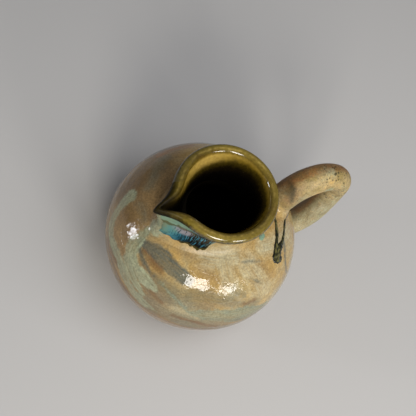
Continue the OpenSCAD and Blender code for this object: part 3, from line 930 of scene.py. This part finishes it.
def buildCollar():
    look = collarLook
    t = collarAngles(look["angleSteps"])[:, None]
    climb = np.linspace(0, 1, look["outerSteps"] + 1)[None, :] ** look["crowding"]
    inner = facePoint(innerR, t, np.linspace(1, 0, look["innerSteps"] + 1)[None, :])
    tuckR = inner[:, -1:, 0] + look["tuckIn"]
    tuck = np.stack([tuckR, shoulderZ(tuckR) - look["tuckDown"]], -1)
    loop = np.concatenate([collarSkin(t, climb), overLip(t, look["lipSteps"]), inner, tuck], 1)
    mesh = gridMesh("luteCollar", turned(loop, t), closeRows=True, closeColumns=True)
    closeShell(mesh, sharp=60)
    paintClay(mesh, look["specks"], dry=1)
    glazeInside(mesh, insideCollar)
    return mesh


finishPiece(buildCollar(), "tan_stoneware", "collar")


# lip glaze: a thick coat over the lip and down inside the collar

coat = dict(thick=0.6, lowShare=0.88, spoutShare=0.95, spoutFade=(35, 70), deepest=0.02, back=0.15,
            waves=[(0.018, 5, 1), (0.012, 11, 2.2)], rollThick=0.35, rollAt=0.9, rollHalf=0.8,
            angleSteps=400, outerSteps=12, lipSteps=20, innerSteps=26)
# where the coat darkens as painted shade, is dark at the tip, is brightened as painted light on the far wall,
# or is dull, as angles from the spout and millimetres in from the crown
coatPaint = dict(shadeAt=160, shadeHalf=55, shadeFrom=2, shadeMost=4, handleSideShade=1.6, tipHalf=24, slopeHalf=46,
                 slope=(1, -2), sideShade=(0.56, 0.42), sideTurn=41, sideFade=(4, 1.5), farLightAt=-82,
                 farLightHalf=36, shadingFrom=(2.5, 6), shadingTo=(15, 9), hemBelow=-4.4, hemHalf=26, hemTop=0.5)


def buildCoat():
    c, paint = coat, coatPaint
    t = collarAngles(c["angleSteps"])[:, None]
    low = c["lowShare"] + waves(c["waves"], np.radians(t))
    low = mix(low, c["spoutShare"], 1 - smooth(*c["spoutFade"], np.abs(t)))
    outer = facePoint(outerR, t, low + (1 - low) * np.linspace(0, 1, c["outerSteps"] + 1)[None, :])
    inner = facePoint(innerR, t, np.linspace(1, c["deepest"], c["innerSteps"] + 1)[None, :])
    clay = np.concatenate([outer, overLip(t, c["lipSteps"]), inner], 1)
    ahead, behind = np.roll(clay, -1, 1), np.roll(clay, 1, 1)
    behind[:, 0], ahead[:, -1] = clay[:, 0], clay[:, -1]
    way = ahead - behind
    normal = unit(np.stack([way[..., 1], -way[..., 0]], -1))
    fromEdge = np.stack([alongLine(profile) for profile in clay])
    # the coat's lower edge is a rounded roll where the melt stopped
    thick = c["thick"] * np.sqrt(smooth(0, c["rollAt"], fromEdge))
    thick = thick + c["rollThick"] * hill(fromEdge, c["rollAt"], c["rollHalf"])
    face = clay + normal * thick[..., None]
    back = clay[:, ::-1] - normal[:, ::-1] * c["back"]
    loop = np.concatenate([face, back], 1)
    mesh = gridMesh("lipGlaze", turned(loop, t), closeRows=True, closeColumns=True)
    # painted shade: the inside wall goes dark nearer the crown towards the handle
    crown = fromEdge - fromEdge[:, [c["outerSteps"] + c["lipSteps"] // 2]]
    handleSideShade = paint["handleSideShade"] * hill(np.abs(t), paint["shadeAt"], paint["shadeHalf"])
    crown = crown + np.clip(crown - paint["shadeFrom"], 0, paint["shadeMost"]) * handleSideShade
    # the melt is dark at the spout's tip; painted shade darkens the outer slope beside it and the two sides
    # of the lip
    outerSlopeShade = smooth(*paint["slope"], crown) * (t < 0)
    tip = hill(t, 0, paint["tipHalf"] + paint["slopeHalf"] * outerSlopeShade)
    sides = np.where(t < 0, *paint["sideShade"]) * np.sin(np.radians(t - paint["sideTurn"])) ** 2
    tip = np.maximum(tip, sides * smooth(*paint["sideFade"], crown))
    # painted light: the coat is brightened towards pale gold on the far wall
    thin = hill(t, paint["farLightAt"], paint["farLightHalf"])
    thin = thin * smooth(*paint["shadingFrom"], crown) * smooth(*paint["shadingTo"], crown)
    setValues(mesh, fromCrown=frontAndBack(crown), tip=frontAndBack(tip), thin=frontAndBack(thin))
    hem = (crown < paint["hemBelow"]) | ((np.abs(t) < paint["hemHalf"]) & (crown < paint["hemTop"]))
    mesh.materials.append(oliveGlaze)
    mesh.materials.append(hemGlaze)
    mesh.polygons.foreach_set("material_index", frontAndBack(hem).astype(np.int32))
    closeShell(mesh, sharp=70)
    return mesh


finishPiece(buildCoat(), "olive_glaze", "lip_glaze")


# handle: a round pull of clay swept along its loop

handle = dict(d=17, rootD=18.8, fingerGap=14.6, rootAngle=52.8, rootLowH=27.5, loopH=89.5, riseTop=72,
              riseLow=9, rootStraight=9, pullTop=30.5, pullOver=20, pullUnder=15.5, pullLow=22.5,
              inWall=0.8, steps=60, step=0.9, ringSteps=64, uneven=0.5, unevenSize=22)


def heading(angle):
    return np.array([math.cos(math.radians(angle)), math.sin(math.radians(angle))])


def bezier(p, q, v, w, t):
    t = t[:, None]
    return (1 - t) ** 3 * p + 3 * (1 - t) ** 2 * t * q + 3 * (1 - t) * t * t * v + t ** 3 * w


lowTilt = -math.degrees(math.asin((globe["bellyH"] - handle["rootLowH"]) / globe["haunchArc"]))
rootTop = np.array([shoulderOff, globe["bellyH"]]) + globe["shoulderArc"] * heading(handle["rootAngle"])
rootLow = np.array([haunchOff, globe["bellyH"]]) + globe["haunchArc"] * heading(lowTilt)


def handlePath():
    h = handle
    riseTop, riseLow = heading(h["riseTop"]), heading(h["riseLow"])
    topBend = rootTop + h["rootStraight"] * riseTop
    lowBend = rootLow + h["rootStraight"] * riseLow
    loopOut = np.array([globe["bellyR"] + h["fingerGap"] + h["d"] / 2, h["loopH"]])
    t = np.linspace(0, 1, h["steps"])
    upper = bezier(topBend, topBend + h["pullTop"] * riseTop, loopOut + [0, h["pullOver"]], loopOut, t)
    lower = bezier(loopOut, loopOut - [0, h["pullUnder"]], lowBend + h["pullLow"] * riseLow, lowBend, t)
    inWall = h["inWall"] * globe["wall"]
    path = np.concatenate([[rootTop - inWall * riseTop, rootTop], upper, lower[1:],
                           [rootLow, rootLow - inWall * riseLow]])
    taper = np.concatenate([[0, 0], t, t[-2::-1], [0, 0]])
    girth = mix(h["rootD"], h["d"], np.sin(taper * np.pi / 2) ** 2) / 2
    line = lineMesh("handlePath", [inPlane(path)])
    setValues(line, girth=girth * mm)
    return line


def pullTree():
    tree, add, given = newTree("pullHandle", {"Ring Steps": "Int", "Step": "Float", "Uneven": "Float",
                                              "Uneven Scale": "Float"})
    path = add("MeshToCurve", given["Geometry"])
    path = add("ResampleCurve", path, {"Length": given["Step"]}, mode="LENGTH")
    ring = add("CurvePrimitiveCircle", {"Resolution": given["Ring Steps"], "Radius": 1})
    girth = add("InputNamedAttribute", {"Name": "girth"})
    sweep = add("CurveToMesh", path, {"Profile Curve": ring, "Scale": girth, "Fill Caps": True})
    noise = add("TexNoise", {"Vector": add("InputPosition"), "Scale": given["Uneven Scale"], "Detail": 1})
    swell = add("Math MULTIPLY", add("Math ADD", noise, -0.5), given["Uneven"])
    push = add("VectorMath SCALE", add("InputNormal"), {"Scale": swell})
    moved = add("SetPosition", sweep, {"Offset": push})
    endTree(add, moved, given["Material"])
    return tree


# the handle's own wash: rust-brown along its far side, brown in a patch at the upper root, specks towards its
# crest, and a pale wash as painted light on the lower limb
handlePaint = dict(patchAt=(0.5, -3, 20), patchSize=7.5, patchSquash=(1.1, 0.7, 0.7), coreSize=1.3,
                   coreSlope=(0.42, 0.16, 0.08), farFrom=-0.6, farSoft=0.8, paintedLightBelow=82, paintedLightSoft=3,
                   paintedLightMost=4, sage=1.6, sageAlong=5, sageAcross=4, sageLess=1.4, underCrest=(71, -9, 109),
                   underSize=3.2, crest=(72, -2, 118), crestFade=(11, 4), crestSpecks=0.3, specks=(0.3, 0.62),
                   speckedOut=(60, 88), speckedUp=(70, 95))


def paintHandle(mesh):
    look, spots = handlePaint, places(mesh)
    x, y, z = spots.T
    fields, _ = strokeFields(spots)
    fromPatch = np.abs(spots - (inPlane(rootTop) + look["patchAt"]))
    fields["brown"] = look["patchSize"] - length(fromPatch * look["patchSquash"])
    fields["dark"] = look["coreSize"] - fromPatch @ look["coreSlope"]
    fields["rust"] = (y - look["farFrom"]) / look["farSoft"]
    for tint in ("brown", "dark", "rust"):
        fields[tint] = np.clip(fields[tint], unpainted, -unpainted)
    # painted light: the pale wash brightens the lower limb, which lies in the upper limb's shade
    fields["paleWashAndLight"] = np.clip((look["paintedLightBelow"] - z) / look["paintedLightSoft"], unpainted, look["paintedLightMost"])
    sage = look["sage"] * np.sin(x / look["sageAlong"]) * np.cos(y / look["sageAcross"]) - look["sageLess"]
    fields["sage"] = np.maximum(sage, look["underSize"] - length(spots - look["underCrest"]))
    specks = mix(*look["specks"], smooth(*look["speckedOut"], x) * smooth(*look["speckedUp"], z))
    specks = specks + look["crestSpecks"] * smooth(*look["crestFade"], length(spots - look["crest"]))
    setValues(mesh, **fields, brush=spots[:, ::-1], dry=np.zeros(len(spots)), specks=specks)


handlePiece = grow("pulledHandle", handlePath(), pullTree(), {
    "Ring Steps": handle["ringSteps"], "Step": handle["step"] * mm, "Uneven": handle["uneven"] * mm,
    "Uneven Scale": perMm(handle["unevenSize"]), "Material": dryStoneware})
closeShell(handlePiece, sharp=60)
paintHandle(handlePiece)
finishPiece(handlePiece, "tan_stoneware", "handle")


# root wads: clay pressed round each root, as a hollow fillet between handle and globe

wad = dict(fillet=5.0, proud=0.06, sunk=0.5, ringSteps=96, arcSteps=14, settleSteps=30, settle=0.8,
           specks=0.3, dry=0.4)


def buildWad(name, root, rise):
    fillet, sunk = wad["fillet"], wad["sunk"]
    axis = inPlane(heading(rise))
    sideways = np.array([-axis[2], 0, axis[0]])
    a = np.linspace(0, 2 * np.pi, wad["ringSteps"], endpoint=False)[:, None]
    out = np.cos(a) * sideways + np.sin(a) * np.array([0, 1, 0])
    bend = np.linspace(0, np.pi / 2, wad["arcSteps"])
    lift = np.concatenate([fillet * (1 - np.sin(bend)), [-sunk, -sunk, fillet]])
    spreadOut = np.concatenate([fillet * (1 - np.cos(bend)) + wad["proud"], [fillet, -sunk, -sunk]])
    reach = handle["rootD"] / 2 + spreadOut
    spots = inPlane(root) + out[:, None, :] * reach[None, :, None]
    for _ in range(wad["settleSteps"]):  # slide along the handle until as far off the globe as asked
        spots = spots + wad["settle"] * (lift - outsideGlobe(spots))[..., None] * axis
    mesh = gridMesh(name, spots, closeRows=True, closeColumns=True)
    closeShell(mesh, sharp=80)
    paintClay(mesh, wad["specks"], dry=wad["dry"], ontoGlobe=True)
    mesh.materials.append(stoneware)
    return mesh


finishPiece(buildWad("upperRootWad", rootTop, handle["riseTop"]), "tan_stoneware", "upper_root_wad")
finishPiece(buildWad("lowerRootWad", rootLow, handle["riseLow"]), "tan_stoneware", "lower_root_wad")


# copper run: a pool of glaze down the flank of the spout, and one bead on the shoulder

pool = dict(fromAngle=4, sweep=86, mainShare=0.66, low=0.11, least=0.065, high=0.955, climb=0.64, thick=0.9,
            edge=2.4, under=0.3, columns=150, rows=44, dips=(0.07, 0.53), climbs=(0.56, 0.73), climbPower=1.5,
            tail=(0.74, 1), tailDrop=0.03, sideWaves=[(1.1, 4, 0.4), (0.4, 15, 0)],
            lowWaves=[(0.012, 23, 0), (0.009, 61, 1)], fineWaves=[(0.006, 113, 0)], fineFrom=(0.2, 0.45),
            rimSunk=0.15, slant=0.1, neckMiddle=(0, 0, 100), lipShare=0.45, lipThin=(0.1, 0.7), keelShare=0.6,
            keelThin=(0.1, 0.4), tailShare=0.3, tailThin=(0.53, 0.7))
bead = dict(azimuth=-44.5, arcAngle=71.5, radius=2.3, high=0.9, stretch=0.25, rimSunk=0.2, under=0.5,
            underShare=0.2, rings=10, sides=36, place=(0.1, 0.85, 0))


def buildPool():
    c = pool
    u = np.linspace(0, 1, c["columns"])[:, None]
    v = np.linspace(0, 1, c["rows"])[None, :]
    t = c["fromAngle"] + c["sweep"] * u + waves(c["sideWaves"], v) * (1 - u) ** 3
    low = mix(c["low"], c["least"], smooth(*c["dips"], u))
    low = low + c["climb"] * smooth(*c["climbs"], u) ** c["climbPower"]
    low = mix(low, c["high"] - c["tailDrop"], smooth(*c["tail"], u))
    low = low + waves(c["lowWaves"], u) + waves(c["fineWaves"], u) * smooth(*c["fineFrom"], u)
    s = np.clip(mix(low, c["high"], v), 0, 1)
    base = turned(collarSkin(t, s), t)
    du, dv = np.gradient(base, axis=0), np.gradient(base, axis=1)
    normal = unit(np.cross(du, dv))
    normal *= np.sign((normal * (base - c["neckMiddle"])).sum(-1, keepdims=True))
    across, along = np.cumsum(length(du), 0), np.cumsum(length(dv), 1)
    down = along[:, -1:] - along
    rim = np.minimum(np.minimum(across, across[-1:] - across), np.minimum(along, down))
    # heaviest low in the middle of the run, thin towards the lip, the keel and the tail
    heavy = mix(1, c["lipShare"], smooth(*c["lipThin"], v))
    heavy = heavy * mix(c["keelShare"], 1, smooth(*c["keelThin"], u))
    heavy = heavy * mix(1, c["tailShare"], smooth(*c["tailThin"], u))
    thick = (c["rimSunk"] + c["thick"] * heavy) * np.sqrt(smooth(0, c["edge"], rim)) - c["rimSunk"]
    front = base + normal * thick[..., None]
    back = (base - normal * c["under"])[:, ::-1]
    mesh = gridMesh("copperRun", np.concatenate([front, back], 1), closeColumns=True, caps=True)
    flow = [across + c["slant"] * down, down, 0 * down]
    place = [u / c["mainShare"] + 0 * v, v + 0 * u, 0 * down]
    setValues(mesh, flow=np.stack([frontAndBack(part) for part in flow], 1),
              place=np.stack([frontAndBack(part) for part in place], 1))
    closeShell(mesh, sharp=70)
    mesh.materials.append(copperGlaze)
    return mesh


def buildBead():
    b = bead
    ring = np.linspace(0, 1, b["rings"] + 1)[1:, None]
    side = np.linspace(0, 2 * np.pi, b["sides"], endpoint=False)[None, :]
    reach = b["radius"] * ring * (1 + b["stretch"] * np.cos(2 * side))
    middleR = shoulderOff + globe["shoulderArc"] * math.cos(math.radians(b["arcAngle"]))
    alongArc = np.degrees(reach * np.sin(side) / globe["shoulderArc"])
    alongRound = np.degrees(reach * np.cos(side) / middleR)
    lift = (b["rimSunk"] + b["high"]) * np.sqrt(1 - ring ** 2) - b["rimSunk"] + 0 * side
    top = onShoulder(b["azimuth"] + alongRound, b["arcAngle"] + alongArc, lift)
    under = onShoulder(b["azimuth"] + b["underShare"] * alongRound[-1:],
                       b["arcAngle"] + b["underShare"] * alongArc[-1:], -b["under"])
    mesh = gridMesh("copperBead", np.concatenate([top, under]), closeColumns=True, caps=True)
    setValues(mesh, flow=places(mesh), place=np.tile(b["place"], (len(mesh.vertices), 1)))
    closeShell(mesh, sharp=80)
    mesh.materials.append(copperGlaze)
    return mesh


finishPiece(buildPool(), "turquoise_glaze", "spout_glaze_run")
finishPiece(buildBead(), "turquoise_glaze", "spout_glaze_run")


# dark runs: trails of glaze across the shoulder from the upper root, as azimuth, arc angle and half width

darkTrails = [
    [(-10.5, 66, 1.0), (-14.5, 65.4, 1.0), (-19, 62.6, 1.1), (-27.4, 60.3, 1.35), (-34, 58.1, 1.55),
     (-39.7, 56.3, 1.6), (-45.1, 54.1, 1.9), (-49.7, 50.9, 2.2), (-51.5, 48.5, 2.0)],
    [(-12.5, 48.4, 0.9), (-15.5, 48.8, 1.0), (-20.7, 50.2, 1.1), (-29.2, 50.3, 1.2), (-34.3, 50.1, 1.5),
     (-38.4, 50.8, 2.3), (-42.2, 50.2, 2.4), (-46, 48.4, 2.2), (-48.5, 46.8, 2.1)],
    [(-39, 52.6, 1.2), (-43, 51.8, 2.0), (-47, 50.4, 2.2), (-50, 48.6, 1.8)],
    [(-51.6, 50.2, 1.7), (-50.3, 48.4, 2.4), (-48.5, 46.4, 2.7), (-46.8, 44.6, 2.4), (-45.4, 43.2, 1.4)],
]
trailLook = dict(flatness=0.32, sides=24, steps=12, quick=(0.07, 0.7), slow=(0.08, 0.31, 1))


def trailLines():
    lines, uprights, halves, start = [], [], [], 0
    for trail in darkTrails:
        azimuth, angle, half = smoothPath(trail, trailLook["steps"]).T
        lines.append(onShoulder(azimuth, angle))
        uprights.append(onShoulder(azimuth, angle, 1) - lines[-1])
        ragged = [(*trailLook["quick"], start), trailLook["slow"]]
        halves.append(half * (1 + waves(ragged, np.arange(len(half)))) * mm)
        start += len(half)
    mesh = lineMesh("trailLines", lines)
    setValues(mesh, half=np.concatenate(halves), upright=np.concatenate(uprights))
    return mesh


def trailTree():
    tree, add, given = newTree("glazeTrail", {"Flatness": "Float", "Sides": "Int"})
    line = add("MeshToCurve", given["Geometry"])
    # the trail lies flat on the shoulder: its upright is the way out of the shoulder's arc
    upright = add("InputNamedAttribute", {"Name": "upright"}, data_type="FLOAT_VECTOR")
    line = add("SetCurveNormal", line, {"Normal": upright}, mode="FREE")
    ring = add("CurvePrimitiveCircle", {"Resolution": given["Sides"], "Radius": 1})
    ring = add("StoreNamedAttribute", ring, {"Name": "turnShare", "Value": add("SplineParameter")})
    ring = add("Transform", ring, {"Scale": add("CombineXYZ", given["Flatness"], 1, 1)})
    half = add("InputNamedAttribute", {"Name": "half"})
    trail = add("CurveToMesh", line, {"Profile Curve": ring, "Scale": half, "Fill Caps": True})
    endTree(add, trail, given["Material"])
    return tree


trails = grow("darkRuns", trailLines(), trailTree(), {
    "Flatness": trailLook["flatness"], "Sides": trailLook["sides"], "Material": runGlaze})
turnShare = np.empty(len(trails.vertices), np.float32)
trails.attributes["turnShare"].data.foreach_get("value", turnShare)
setValues(trails, middle=np.abs(np.cos(2 * np.pi * turnShare)))
closeShell(trails, sharp=80)
finishPiece(trails, "dark_run_glaze", "root_glaze_run")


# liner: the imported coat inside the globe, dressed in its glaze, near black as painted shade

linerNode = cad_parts["liner_glaze"]
linerNode.data.materials.clear()
linerNode.data.materials.append(liner)
